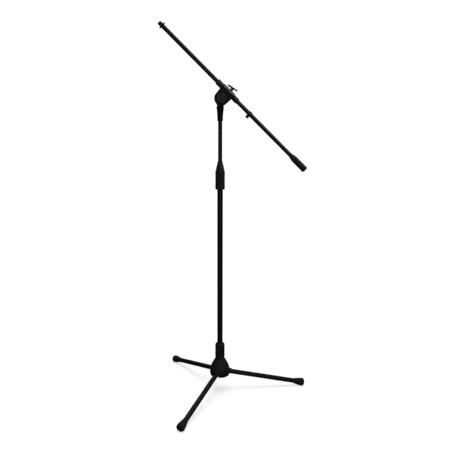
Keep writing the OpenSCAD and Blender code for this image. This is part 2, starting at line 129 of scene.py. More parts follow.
def activate(piece):
    clear_selection()
    piece.select_set(True)
    bpy.context.view_layer.objects.active = piece


def edit(piece):
    activate(piece)
    bpy.ops.object.mode_set(mode="EDIT")
    bpy.ops.mesh.select_all(action="SELECT")


def leave():
    bpy.ops.object.mode_set(mode="OBJECT")


def apply_modifier(piece, kind, **settings):
    """Adds a modifier, sets it and applies it to the mesh."""
    activate(piece)
    bpy.ops.object.modifier_add(type=kind)
    modifier = piece.modifiers[-1]
    for setting, value in settings.items():
        setattr(modifier, setting, value)
    bpy.ops.object.modifier_apply(modifier=modifier.name)


def put(piece, place):
    """Moves a piece to its place, and leaves that place in its mesh."""
    activate(piece)
    piece.matrix_world = place
    bpy.ops.object.transform_apply(location=True, rotation=True, scale=True)
    return piece


def drawn(name, points):
    """An outline drawn with a single corner that is extruded from point to point, in millimetres."""
    clear_selection()
    bpy.ops.mesh.primitive_plane_add(size=MM)
    piece = bpy.context.object
    piece.name = piece.data.name = name
    bpy.ops.object.mode_set(mode="EDIT")
    bpy.ops.mesh.merge(type="CENTER")
    steps = [Vector(point) * MM for point in points]
    bpy.ops.transform.translate(value=steps[0])
    for start, end in zip(steps, steps[1:]):
        bpy.ops.mesh.extrude_region_move(TRANSFORM_OT_translate={"value": end - start})
    bpy.ops.mesh.select_all(action="SELECT")
    bpy.ops.mesh.remove_doubles(threshold=1e-7)
    leave()
    return piece


def turned(name, outline, sides=72):
    """An outline of (radius, height) points in millimetres, spun round Z.

    An outline that starts off the axis is closed back to its start.
    """
    closed = outline[0][0] > 0
    points = [(r, 0, z) for r, z in outline + ([outline[0]] if closed else [])]
    piece = drawn(name, points)
    edit(piece)
    bpy.ops.mesh.spin(steps=sides, angle=math.tau, center=(0, 0, 0), axis=(0, 0, 1))
    bpy.ops.mesh.select_all(action="SELECT")
    bpy.ops.mesh.remove_doubles(threshold=1e-6)
    bpy.ops.mesh.normals_make_consistent(inside=False)
    leave()
    return piece


def extruded(name, points, way):
    """A closed outline filled and extruded along a vector, in millimetres."""
    piece = drawn(name, points)
    edit(piece)
    bpy.ops.mesh.edge_face_add()
    bpy.ops.mesh.extrude_region_move(TRANSFORM_OT_translate={"value": Vector(way) * MM})
    bpy.ops.mesh.select_all(action="SELECT")
    bpy.ops.mesh.normals_make_consistent(inside=False)
    leave()
    return piece


def block(name, low, high):
    """A box between two corners in millimetres."""
    (x0, y0, z0), (x1, y1, z1) = low, high
    return extruded(name, [(x0, y0, z0), (x1, y0, z0), (x1, y1, z0), (x0, y1, z0)], (0, 0, z1 - z0))


def rod(name, r, low, high, sides=72):
    """A solid round cutter along Z in millimetres."""
    return turned(name, [(0, low), (r, low), (r, high), (0, high)], sides)


def combine(piece, other, operation):
    """Joins, cuts or keeps what is common, and removes the other solid."""
    apply_modifier(piece, "BOOLEAN", object=other, operation=operation, solver="EXACT")
    bpy.data.objects.remove(other)
    return piece


def soften(piece, width, segments=3, angle=32):
    """Rounds the sharp edges by a width in millimetres."""
    edit(piece)
    bpy.ops.mesh.remove_doubles(threshold=2e-6)
    leave()
    apply_modifier(piece, "BEVEL", width=width * MM, segments=segments, limit_method="ANGLE",
                   angle_limit=math.radians(angle), use_clamp_overlap=False, loop_slide=False)
    piece["flat_faces"] = True


def finished(piece, body, slot, *nodes, smooth=35):
    """The last step of every new piece: shading, finish, the body it rides on, and what it stands for."""
    activate(piece)
    bpy.ops.object.shade_smooth_by_angle(angle=math.radians(smooth))
    if "flat_faces" in piece:
        apply_modifier(piece, "WEIGHTED_NORMAL", keep_sharp=True)
    piece.data.materials.clear()
    piece.data.materials.append(bpy.data.materials[slot])
    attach(piece, body)
    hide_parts(*nodes)


def arc(centre, r, start, end, steps):
    """Points of a round stretch from one angle to another, in degrees."""
    angles = [math.radians(start + (end - start) * i / steps) for i in range(steps + 1)]
    return [(centre[0] + r * math.cos(a), centre[1] + r * math.sin(a)) for a in angles]


def touch_angle(r, point, side):
    """Angle at which a line from a point touches a circle round the origin, on the side 1 or -1."""
    return math.degrees(math.atan2(point[1], point[0]) + side * math.acos(r / math.hypot(*point)))


# ---------------------------------------------------------------- sizes and colours

class StandSizes(bpy.types.PropertyGroup):
    """Sizes that shape the visible pieces, in metres"""

    tube_edge: FloatProperty(
        name="Tube edge", description="Rounding of a tube's cut edge", default=0.25 * MM, unit="LENGTH")
    wall: FloatProperty(
        name="Tube wall", description="Thickness of the steel tubes", default=1.2 * MM, unit="LENGTH")
    bell_radius: FloatProperty(
        name="Bell radius", description="Radius of the bell's widest ring", default=41 * MM, unit="LENGTH")
    cast_edge: FloatProperty(
        name="Casting edge", description="Rounding of a casting's edges", default=0.8 * MM, unit="LENGTH")
    thread_pitch: FloatProperty(
        name="Thread pitch", description="Rise of the microphone thread in a turn",
        default=25.4 / 27 * MM, unit="LENGTH")


class StandColours(bpy.types.PropertyGroup):
    """Colours of the finishes"""

    tube: FloatVectorProperty(
        name="Tube coat", description="Powder coat on the tubes", subtype="COLOR", size=3,
        default=(0.0013, 0.0013, 0.0014))
    cast: FloatVectorProperty(
        name="Casting paint", description="Paint on the neck and clamp", subtype="COLOR", size=3,
        default=(0.0013, 0.0013, 0.0014))
    plastic: FloatVectorProperty(
        name="Moulded plastic", description="Bell, collar and grips", subtype="COLOR", size=3,
        default=(0.0013, 0.0013, 0.0014))
    rubber: FloatVectorProperty(
        name="Rubber", description="Feet", subtype="COLOR", size=3,
        default=(0.0022, 0.0022, 0.0021))


class StageSettings(bpy.types.PropertyGroup):
    """The camera's place and the studio"""

    distance: FloatProperty(
        name="Distance", description="Camera in front of the column", default=2.0977, unit="LENGTH")
    height: FloatProperty(
        name="Height", description="Camera above the floor", default=1.0503, unit="LENGTH")
    tilt: FloatProperty(
        name="Tilt", description="How far the camera looks down", default=math.radians(10.173),
        subtype="ANGLE")
    pan: FloatProperty(
        name="Pan", description="How far the camera looks to the right", default=math.radians(1.069),
        subtype="ANGLE")
    roll: FloatProperty(
        name="Roll", description="Turn about the camera's own axis", default=math.radians(0.249),
        subtype="ANGLE")
    lens: FloatProperty(
        name="Lens", description="Focal length for the sensor's width, in millimetres", default=42.381,
        unit="CAMERA")
    floor_radius: FloatProperty(
        name="Floor radius", description="Radius of the pale floor", default=14, unit="LENGTH")


# ---------------------------------------------------------------- finishes

def new_finish(name):
    """Makes a material with a cleared tree, and returns the tree and its shader."""
    material = bpy.data.materials.new(name)
    material.use_nodes = True
    tree = material.node_tree
    tree.nodes.clear()
    output = tree.nodes.new("ShaderNodeOutputMaterial")
    shader = tree.nodes.new("ShaderNodeBsdfPrincipled")
    tree.links.new(shader.outputs["BSDF"], output.inputs["Surface"])
    return tree, shader


def noise(tree, stretch=(1, 1, 1), **inputs):
    """Noise on object coordinates, stretched along the axes."""
    coordinates = tree.nodes.new("ShaderNodeTexCoord")
    mapping = tree.nodes.new("ShaderNodeMapping")
    mapping.inputs["Scale"].default_value = stretch
    texture = tree.nodes.new("ShaderNodeTexNoise")
    tree.links.new(coordinates.outputs["Object"], mapping.inputs["Vector"])
    tree.links.new(mapping.outputs["Vector"], texture.inputs["Vector"])
    for name, value in inputs.items():
        texture.inputs[name].default_value = value
    return texture.outputs["Fac"]


def spread(tree, value, low, high, dark=0.3, light=0.7):
    """Maps a pattern's middle stretch onto a range."""
    ranged = tree.nodes.new("ShaderNodeMapRange")
    ranged.inputs["From Min"].default_value = dark
    ranged.inputs["From Max"].default_value = light
    ranged.inputs["To Min"].default_value = low
    ranged.inputs["To Max"].default_value = high
    tree.links.new(value, ranged.inputs["Value"])
    return ranged.outputs["Result"]


def multiplied(tree, first, second):
    product = tree.nodes.new("ShaderNodeMath")
    product.operation = "MULTIPLY"
    tree.links.new(first, product.inputs[0])
    tree.links.new(second, product.inputs[1])
    return product.outputs["Value"]


def blend_colours(tree, share, first, second):
    """Mixes two colours by a share. Each is a colour or the output of another node."""
    mix = tree.nodes.new("ShaderNodeMix")
    mix.data_type = "RGBA"
    tree.links.new(share, mix.inputs["Factor"])
    for socket, colour in (("A", first), ("B", second)):
        sockets = [s for s in mix.inputs if s.name == socket and s.type == "RGBA"]
        if isinstance(colour, bpy.types.NodeSocket):
            tree.links.new(colour, sockets[0])
        else:
            sockets[0].default_value = (*colour, 1)
    return [s for s in mix.outputs if s.type == "RGBA"][0]


def relief(tree, shader, height, depth, strength, under=None):
    """Bump of a depth in millimetres, laid over another bump where there is one."""
    bump = tree.nodes.new("ShaderNodeBump")
    bump.inputs["Distance"].default_value = depth * MM
    bump.inputs["Strength"].default_value = strength
    tree.links.new(height, bump.inputs["Height"])
    if under is not None:
        tree.links.new(under, bump.inputs["Normal"])
    tree.links.new(bump.outputs["Normal"], shader.inputs["Normal"])
    return bump.outputs["Normal"]


def scaled(colour, factor):
    return tuple(min(1.0, channel * factor) for channel in colour)


def edge_wear(tree):
    """Share of bare wear: on convex edges, broken up by a pattern."""
    geometry = tree.nodes.new("ShaderNodeNewGeometry")
    edges = spread(tree, geometry.outputs["Pointiness"], 0, 1, dark=0.56, light=0.64)
    patches = spread(tree, noise(tree, Scale=160, Detail=5), 0, 1, dark=0.45, light=0.65)
    return multiplied(tree, edges, patches)


def powder_coat(name, colour, rough):
    """Satin powder coat: orange peel, faint handling marks and a little dust."""
    tree, shader = new_finish(name)
    shader.inputs["Specular IOR Level"].default_value = 0.42
    handling = noise(tree, (1, 1, 0.35), Scale=26, Detail=6, Roughness=0.6)
    tree.links.new(spread(tree, handling, *rough), shader.inputs["Roughness"])
    cloud = noise(tree, Scale=9, Detail=4)
    colours = blend_colours(tree, spread(tree, cloud, 0, 1), colour, scaled(colour, 1.7))
    tree.links.new(colours, shader.inputs["Base Color"])
    peel = noise(tree, Scale=1100, Detail=2, Roughness=0.45)
    relief(tree, shader, peel, 0.03, 0.35)


def cast_paint(name, colour, rough, worn):
    """Painted die casting: a fine sandy skin, with thin paint on the edges."""
    tree, shader = new_finish(name)
    shader.inputs["Specular IOR Level"].default_value = 0.5
    patches = noise(tree, Scale=60, Detail=5)
    tree.links.new(spread(tree, patches, *rough), shader.inputs["Roughness"])
    painted = blend_colours(tree, spread(tree, patches, 0, 1), colour, scaled(colour, 1.6))
    colours = blend_colours(tree, edge_wear(tree), painted, worn)
    tree.links.new(colours, shader.inputs["Base Color"])
    sand = noise(tree, Scale=900, Detail=3, Roughness=0.6)
    lumps = noise(tree, Scale=140, Detail=2)
    first = relief(tree, shader, lumps, 0.2, 0.25)
    relief(tree, shader, sand, 0.05, 0.5, first)


def moulded(name, colour, rough, grain, gloss=0.45):
    """Moulded plastic: a spark-eroded grain and slight unevenness of the gloss."""
    tree, shader = new_finish(name)
    shader.inputs["Specular IOR Level"].default_value = gloss
    patches = noise(tree, Scale=34, Detail=5, Roughness=0.6)
    tree.links.new(spread(tree, patches, *rough), shader.inputs["Roughness"])
    dust = noise(tree, Scale=420, Detail=6, Roughness=0.7)
    dusty = spread(tree, dust, 0, 0.5, dark=0.55, light=0.75)
    colours = blend_colours(tree, dusty, colour, scaled(colour, 2.6))
    tree.links.new(colours, shader.inputs["Base Color"])
    grains = noise(tree, Scale=grain, Detail=2, Roughness=0.45)
    flow = noise(tree, Scale=55, Detail=2)
    first = relief(tree, shader, flow, 0.1, 0.1)
    relief(tree, shader, grains, 0.02, 0.3, first)


def foot_rubber(name, colour, rough, dust):
    """Matt rubber with a dusty bloom and scuffs near the floor."""
    tree, shader = new_finish(name)
    shader.inputs["Specular IOR Level"].default_value = 0.35
    patches = noise(tree, Scale=70, Detail=6, Roughness=0.65)
    tree.links.new(spread(tree, patches, *rough), shader.inputs["Roughness"])
    bloom = blend_colours(tree, spread(tree, patches, 0, 0.6), colour, scaled(colour, 2.4))
    coordinates = tree.nodes.new("ShaderNodeTexCoord")
    height = tree.nodes.new("ShaderNodeSeparateXYZ")
    tree.links.new(coordinates.outputs["Object"], height.inputs["Vector"])
    low = spread(tree, height.outputs["Z"], 1, 0, dark=0.5 * MM, light=6 * MM)
    scuffs = spread(tree, noise(tree, Scale=500, Detail=5), 0, 1, dark=0.45, light=0.6)
    colours = blend_colours(tree, multiplied(tree, low, scuffs), bloom, dust)
    tree.links.new(colours, shader.inputs["Base Color"])
    pores = noise(tree, Scale=1300, Detail=4, Roughness=0.7)
    relief(tree, shader, pores, 0.06, 0.45)


def bare_metal(name, colour, worn, rough, stretch=(1, 1, 0.1)):
    """Machined or plated metal: fine marks, drawn out along Z by a stretch, and duller patches."""
    tree, shader = new_finish(name)
    shader.inputs["Metallic"].default_value = 1
    marks = noise(tree, stretch, Scale=300, Detail=6, Roughness=0.6)
    tree.links.new(spread(tree, marks, *rough), shader.inputs["Roughness"])
    patches = noise(tree, Scale=90, Detail=4)
    colours = blend_colours(tree, spread(tree, patches, 0, 1), colour, worn)
    tree.links.new(colours, shader.inputs["Base Color"])
    relief(tree, shader, marks, 0.02, 0.4)


def fibre(name, board, thread):
    """Pressed fibre: short pale threads in a brown board."""
    tree, shader = new_finish(name)
    threads = noise(tree, (1, 0.1, 1), Scale=1600, Detail=4)
    shader.inputs["Roughness"].default_value = 0.8
    colours = blend_colours(tree, spread(tree, threads, 0, 1), board, thread)
    tree.links.new(colours, shader.inputs["Base Color"])
    relief(tree, shader, threads, 0.05, 0.5)


def make_finishes(colours):
    """Makes one finish for each slot of the record."""
    tube, cast, plastic = tuple(colours.tube), tuple(colours.cast), tuple(colours.plastic)
    bare_edge, floor_dust = (0.07, 0.07, 0.072), (0.06, 0.056, 0.05)
    powder_coat("tube_paint", tube, rough=(0.21, 0.25))
    cast_paint("cast_paint", cast, rough=(0.28, 0.38), worn=bare_edge)
    cast_paint("raw_casting", scaled(cast, 3), rough=(0.28, 0.38), worn=bare_edge)
    moulded("bell_plastic", plastic, rough=(0.22, 0.29), grain=1100)
    moulded("grip_plastic", plastic, rough=(0.20, 0.27), grain=1300)
    moulded("bush_plastic", scaled(plastic, 1.3), rough=(0.22, 0.30), grain=1500, gloss=0.5)
    moulded("cap_plastic", scaled(plastic, 1.9), rough=(0.25, 0.34), grain=1400, gloss=0.55)
    foot_rubber("foot_rubber", tuple(colours.rubber), rough=(0.48, 0.68), dust=floor_dust)
    bare_metal("black_steel", (0.035, 0.035, 0.037), worn=(0.07, 0.068, 0.066), rough=(0.28, 0.42),
               stretch=(1, 1, 1))
    bare_metal("plated_steel", (0.42, 0.42, 0.43), worn=(0.3, 0.3, 0.29), rough=(0.25, 0.42))
    bare_metal("shoe_brass", (0.55, 0.38, 0.14), worn=(0.36, 0.25, 0.11), rough=(0.25, 0.4))
    fibre("friction_fibre", board=(0.05, 0.032, 0.02), thread=(0.16, 0.11, 0.07))


def finish_carried_nodes():
    """Gives every CAD node that is still shown the finish of its slot."""
    slots = {part["node"]: part["material_slot"] for part in frame["record"]["subparts"]}
    for name, node in frame["nodes"].items():
        if not node.hide_render:
            node.data.materials.clear()
            node.data.materials.append(bpy.data.materials[slots[name]])


# ---------------------------------------------------------------- pieces

def tube(name, body, place, sizes):
    """A steel tube with its cut edges taken off, standing for the node of the same name."""
    low, high = along(name, place)
    r, wall, edge = radius(name, place), sizes.wall / MM, sizes.tube_edge / MM
    outline = [
        (r - wall, low + edge), (r - wall + edge, low), (r - edge, low), (r, low + edge),
        (r, high - edge), (r - edge, high), (r - wall + edge, high), (r - wall, high - edge),
    ]
    piece = put(turned(name + "_steel", outline, 64), place)
    finished(piece, body, "tube_paint", name)


def bell_side(r_top, r_wide, z_top, z_wide, inset, steps=20):
    """The bell's swelling side, a quarter of a sine, drawn in by an inset."""
    points = []
    for i in range(steps + 1):
        z = z_top - inset - (z_top - inset - z_wide) * i / steps
        swell = math.sin(math.pi / 2 * (z_top - z) / (z_top - z_wide))
        points.append((r_top + (r_wide - r_top) * swell - inset, z))
    return points


def leg_tunnel(name, k, r, start, end, drop):
    """A tunnel round a leg: round above, with straight sides below."""
    sides = [(y, x) for x, y in arc((0, 0), r, -90, 90, 24)]
    points = [(x, y, start) for y, x in [(-r, -drop)] + sides + [(r, -drop)]]
    return put(extruded(name, points, (0, 0, end - start)), leg_place(k))


def make_bell(sizes):
    low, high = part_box("base_bell")
    rim, top = low.z / MM, high.z / MM
    wide_r, wide_z, neck_r, wall, tuck = sizes.bell_radius / MM, 84, 18.2, 3, 4
    slot_r, lip = 10.3, 2.2
    seat_z = along("lower_tube", COLUMN)[0]
    bore_r = radius("lower_tube", COLUMN) + LOOSE_FIT
    plug_r = 15
    shroud_start, shroud_end, shroud_drop = 8, 27.4, 2

    def foot(inset):
        drop = wide_z - rim + inset
        return [(wide_r - inset - tuck * (1 - math.cos(a)), wide_z - drop * math.sin(a))
                for a in (math.radians(10 * i) for i in range(1, 10))]

    outer = [(0, top)] + bell_side(neck_r, wide_r, top, wide_z, 0) + foot(0) + [(0, rim)]
    bell = turned("bell_shell", outer, 96)
    for k in LEGS:
        combine(bell, leg_tunnel("shroud", k, slot_r + lip, shroud_start, shroud_end, shroud_drop), "UNION")
    hollow = ([(0, seat_z), (plug_r, seat_z), (plug_r, top - wall - 1)]
              + bell_side(neck_r, wide_r, top, wide_z, wall) + foot(wall) + [(0, rim - wall)])
    combine(bell, turned("bell_hollow", hollow, 96), "DIFFERENCE")
    for k in LEGS:
        combine(bell, leg_tunnel("slot", k, slot_r, -2, 60, 60), "DIFFERENCE")
    combine(bell, rod("below_rim", 80, rim - 40, rim), "DIFFERENCE")
    combine(bell, rod("tube_bore", bore_r, seat_z - 10, top + 10), "DIFFERENCE")
    soften(bell, 0.6)
    finished(bell, "base", "bell_plastic", "base_bell")


def make_collar():
    low, high = along("base_collar", COLUMN)
    r, bore = radius("base_collar", COLUMN), radius("lower_tube", COLUMN) + LOOSE_FIT
    lip = bore + 0.55
    shoulder = 9.5
    rise = [(lip + (r - lip) * math.cos(a), high - shoulder + shoulder * math.sin(a))
            for a in (math.radians(9 * i) for i in range(11))]
    outline = [
        (bore, low), (r - 1.9, low), (r - 1.3, low + 0.5), (r - 1.3, low + 1.5), (r - 0.35, low + 3.0),
        (r, low + 4.2), (r, high - shoulder - 3.4), (r - 0.3, high - shoulder - 3.0),
        (r - 0.3, high - shoulder - 2.2), (r, high - shoulder - 1.8),
    ] + rise + [(bore + 0.3, high), (bore, high - 0.3)]
    finished(turned("collar_sleeve", outline, 96), "base", "bell_plastic", "base_collar")


def make_foot(k):
    place = leg_place(k)
    name = f"leg_foot_{k}"
    start, end = along(name, place)
    tube_r = radius(f"leg_tube_{k}", place)
    tube_end = along(f"leg_tube_{k}", place)[1]
    r, neck_r, edge, socket_r = 16, tube_r + 1.7, 7, tube_r + TIGHT_FIT
    wide = end - edge
    flare = [(neck_r + (r - neck_r) * math.sin(math.pi / 2 * t), start + 4 + (wide - start - 4) * t)
             for t in (i / 14 for i in range(15))]
    outline = [
        (0, tube_end), (socket_r, tube_end), (socket_r, start + 0.4), (tube_r + 0.4, start),
        (neck_r - 0.5, start), (neck_r + 0.1, start + 0.5), (neck_r + 0.2, start + 2.2),
        (neck_r - 0.15, start + 2.7), (neck_r - 0.15, start + 3.4),
    ] + flare + arc((r - edge, wide), edge, 9, 90, 9) + [(7.2, end), (6.6, end - 0.8), (0, end - 0.8)]
    foot = put(turned(f"foot_{k}_rubber", outline, 72), place)
    # the foot is cut off flat where it stands on the floor
    edit(foot)
    bpy.ops.mesh.bisect(plane_co=(0, 0, 0), plane_no=(0, 0, 1), clear_inner=True, use_fill=True)
    leave()
    finished(foot, f"leg_{k}", "foot_rubber", name)


def make_clutch_grip():
    low, high = along("clutch_grip", COLUMN)
    r = radius("clutch_grip", COLUMN)
    bore, top_bore = radius("lower_tube", COLUMN) + 0.4, radius("upper_tube", COLUMN) + 0.3
    heel, waist, body_low, body_high = 4, 0.35, low + 15, low + 64
    side = [(r - waist * math.sin(math.pi * i / 12), body_low + (body_high - body_low) * i / 12)
            for i in range(13)]
    tip, blend, lean = top_bore + 0.6, 34, math.atan((r - top_bore - 0.6) / (high - body_high - 4))
    shoulder = [(r - blend * (1 - math.cos(a)), body_high + blend * math.sin(a))
                for a in (lean * i / 6 for i in range(1, 7))]
    nut_r, collet_r = 15.5, 9
    inside = [(top_bore, high - 0.3), (top_bore, low + 80), (collet_r, low + 80), (nut_r, low + 65.4),
              (nut_r, low + 9), (bore, low + 9), (bore, low + 0.5)]
    outline = ([(bore + 0.5, low), (r - heel - 2.2, low), (r - heel - 1.7, low + 0.25)]
               + arc((r - heel, low + heel), heel, -90, 0, 7)
               + side + shoulder + [(tip, high - 0.5), (tip - 0.3, high)] + inside)
    finished(turned("clutch_handgrip", outline, 96), "clutch", "grip_plastic", "clutch_grip")


def make_neck(sizes):
    low = along("neck", COLUMN)[0]
    bore = radius("upper_tube", COLUMN) + LOOSE_FIT
    pivot_x, pivot_z = PIVOT_AT.x / MM, PIVOT_AT.z / MM
    tube_top = along("upper_tube", COLUMN)[1]
    foot_r, shoulder_r, tongue_r, half = 10.7, 14.6, 21.5, 8
    shoulder, flare = pivot_z - 30, low + 12
    side = [(foot_r + (shoulder_r - foot_r) * t ** 1.5, flare + (shoulder - 0.8 - flare) * t)
            for t in (i / 12 for i in range(13))]
    outline = [
        (0, tube_top), (bore, tube_top), (bore, low + 0.3), (bore + 0.3, low), (foot_r - 0.9, low),
        (foot_r - 0.2, low + 0.6), (foot_r, low + 1.8),
    ] + side + [(shoulder_r - 0.6, shoulder), (0, shoulder)]
    neck = turned("neck_casting", outline, 96)
    root, root_w = shoulder - 1.5, 11.5
    left_root, right_root = (-root_w - pivot_x, root - pivot_z), (root_w - pivot_x, root - pivot_z)
    left = touch_angle(tongue_r, left_root, -1)
    right = touch_angle(tongue_r, right_root, 1)
    left += 360 if left < right else 0
    points = [left_root, right_root] + arc((0, 0), tongue_r, right, left, 56)
    tongue = extruded("tongue", [(x + pivot_x, half, z + pivot_z) for x, z in points], (0, -2 * half, 0))
    combine(tongue, rod("tongue_root", 40, root, shoulder + 80), "INTERSECT")
    combine(neck, tongue, "UNION")
    combine(neck, put(rod("tilt_bore", BOLT_R + LOOSE_FIT, -20, 20), PIVOT), "DIFFERENCE")
    soften(neck, sizes.cast_edge / MM * 0.8)
    finished(neck, "head", "cast_paint", "neck")


def make_clamp_body(sizes):
    low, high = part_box("clamp_body")
    half_w = (high.y - low.y) / 2 / MM
    rise, cheek_r, half, cheek_in = BOOM_RISE / MM, 27, CLAMP_HALF, 9.25
    under, ridge = rise - 12.5, rise + 13
    front, rear = touch_angle(cheek_r, (half, under), -1), 180 - touch_angle(cheek_r, (half, under), -1)
    side = arc((0, 0), cheek_r, front, rear - 360, 60)
    points = [(half, under)] + side + [(-half, under), (-half, ridge - 2), (2 - half, ridge),
                                       (half - 2, ridge), (half, ridge - 2)]
    body = extruded("clamp_casting", [(x, half_w, z) for z, x in points], (0, -2 * half_w, 0))
    bevel, bevel_x, ridge_half = 6, rise + 4.8, 6
    section = [(-60, -half_w), (-60, half_w), (bevel_x, half_w), (bevel_x + bevel, half_w - bevel),
               (ridge, ridge_half), (ridge, -ridge_half), (bevel_x + bevel, bevel - half_w),
               (bevel_x, -half_w)]
    combine(body, extruded("section", [(x, y, -60) for x, y in section], (0, 0, 120)), "INTERSECT")
    put(body, CLAMP)
    combine(body, put(rod("key_boss", 6.5, 2, 16), KEY), "UNION")
    combine(body, put(rod("sleeve_bore", 11.35, -60, 60), BOOM), "DIFFERENCE")
    combine(body, put(rod("throat", 22.3, -cheek_in, cheek_in, 96), PIVOT), "DIFFERENCE")
    # the mouth is a hair wider than the throat, so that no two faces of the cutters lie in one plane
    mouth_half = cheek_in + 0.02
    mouth = block("mouth", (-60, -mouth_half, -60), (19.6, mouth_half, 60))
    combine(body, put(mouth, CLAMP), "DIFFERENCE")
    combine(body, put(rod("bolt_bore", BOLT_R + LOOSE_FIT, -40, 40), PIVOT), "DIFFERENCE")
    combine(body, put(rod("key_bore", KEY_STUD_R + LOOSE_FIT, 0, 40), KEY), "DIFFERENCE")
    soften(body, sizes.cast_edge / MM)
    finished(body, "clamp", "cast_paint", "clamp_body")


def make_sleeve():
    start, end = along("boom_sleeve", BOOM)
    bore, r, half = radius("boom_tube", BOOM) + 0.06, 11.3, CLAMP_HALF
    outline = [
        (bore, start + 0.4), (bore + 0.4, start), (r - 1.4, start), (r - 0.5, start + 0.6),
        (r + 0.1, start + 1.8), (r + 0.1, start + 5), (r - 0.25, start + 5.4), (r - 0.25, start + 6.4),
        (r, start + 6.8), (r, half), (r - 0.5, half + 0.2), (r - 0.7, end - 2.4), (r - 1.2, end - 0.9),
        (r - 2.2, end), (bore + 0.4, end), (bore, end - 0.4),
    ]
    sleeve = turned("sleeve_bush", outline, 80)
    tab = block("latch_tab", (6, -3, start + 1.5), (12.4, 3, start + 5.5))
    combine(tab, rod("tab_bore", bore + 0.5, -80, 80), "DIFFERENCE")
    combine(sleeve, tab, "UNION")
    put(sleeve, BOOM)
    combine(sleeve, put(rod("screw_hole", 5, 0, 20), KEY), "DIFFERENCE")
    soften(sleeve, 0.35, 2)
    finished(sleeve, "clamp", "bush_plastic", "boom_sleeve")


def make_pivot():
    face = -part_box("clamp_body")[0].y / MM
    crown_r, base = 14.4, face + 1.6
    crown = [(crown_r + 3 * math.cos(a), base + 2.6 * math.sin(a))
             for a in (math.radians(12 * i) for i in range(1, 15))]
    ring = [(9, face + 0.05), (17.5, face + 0.05), (17.5, base)] + crown + [(11.3, face + 1.4), (9, face + 1)]
    finished(put(turned("pivot_ring", ring, 96), PIVOT), "clamp", "cap_plastic", "pivot_cap")
    tail, head = along("pivot_bolt", PIVOT)
    shank, head_r, head_edge = BOLT_R, 8, 0.9
    outline = [(0, tail), (shank - 0.6, tail), (shank, tail + 0.6), (shank, face), (head_r, face),
               (head_r, head - head_edge)] + arc((head_r - head_edge, head - head_edge), head_edge, 15, 90, 4)
    outline.append((0, head))
    bolt = turned("tilt_axle", outline, 64)
    combine(bolt, rod("socket", 3.4, head - 2.4, head + 2, 6), "DIFFERENCE")
    soften(bolt, 0.2, 2, 50)
    finished(put(bolt, PIVOT), "clamp", "black_steel", "pivot_bolt")


def make_tilt_knob():
    start, end = along("tilt_knob", PIVOT)
    start, end = -end, -start
    far_side = place_on(PIVOT_AT, (0, 1, 0), BOOM_UP)
    hub_r, lobe_r, lobe_at, insert_r = 16.6, 5, 16, 8
    sixth = math.tau / 6
    points = []
    for i in range(180):
        turn = math.tau * i / 180
        off = (turn + sixth / 2) % sixth - sixth / 2
        reach = lobe_r ** 2 - (lobe_at * math.sin(off)) ** 2
        r = max(hub_r, lobe_at * math.cos(off) + math.sqrt(reach)) if reach > 0 else hub_r
        points.append((r * math.cos(turn), r * math.sin(turn), start))
    knob = extruded("tilt_knob_moulding", points, (0, 0, end - start))
    dish = [(16 * t, end - 2.2 * math.cos(math.pi / 2 * t) + 0.02) for t in (0, 0.25, 0.5, 0.75, 1)]
    combine(knob, turned("dish", dish + [(16, end + 4), (0, end + 4)], 72), "DIFFERENCE")
    combine(knob, rod("insert_pocket", insert_r + TIGHT_FIT, start - 2, start + 14), "DIFFERENCE")
    soften(knob, 1.1, 3, 40)
    finished(put(knob, far_side), "tilt_knob", "grip_plastic", "tilt_knob")


def make_key_bar():
    rise, length, front_r, rear_r = 23.5, 43, 3.5, 3.1
    half = length / 2
    bar = ([(0, -half)] + arc((0, front_r - half), front_r, -80, 0, 8)
           + arc((0, half - rear_r), rear_r, 0, 80, 8) + [(0, half)])
    key = turned("key_handle", bar, 48)
    put(key, Matrix.Translation((0, 0, rise * MM)) @ Matrix.Rotation(math.pi / 2, 4, "Y"))
    hub = [(0, rise - 6.4), (5.6, rise - 6.4), (6.2, rise - 5.8), (6.2, rise + 1.6), (5.4, rise + 2.7),
           (4, rise + 3.2), (0, rise + 3.4)]
    combine(key, turned("key_hub", hub, 64), "UNION")
    combine(key, rod("key_hole", KEY_STUD_R + TIGHT_FIT, rise - 10, rise), "DIFFERENCE")
    soften(key, 0.4, 2, 40)
    finished(put(key, KEY), "clamp_key", "grip_plastic", "key_bar")


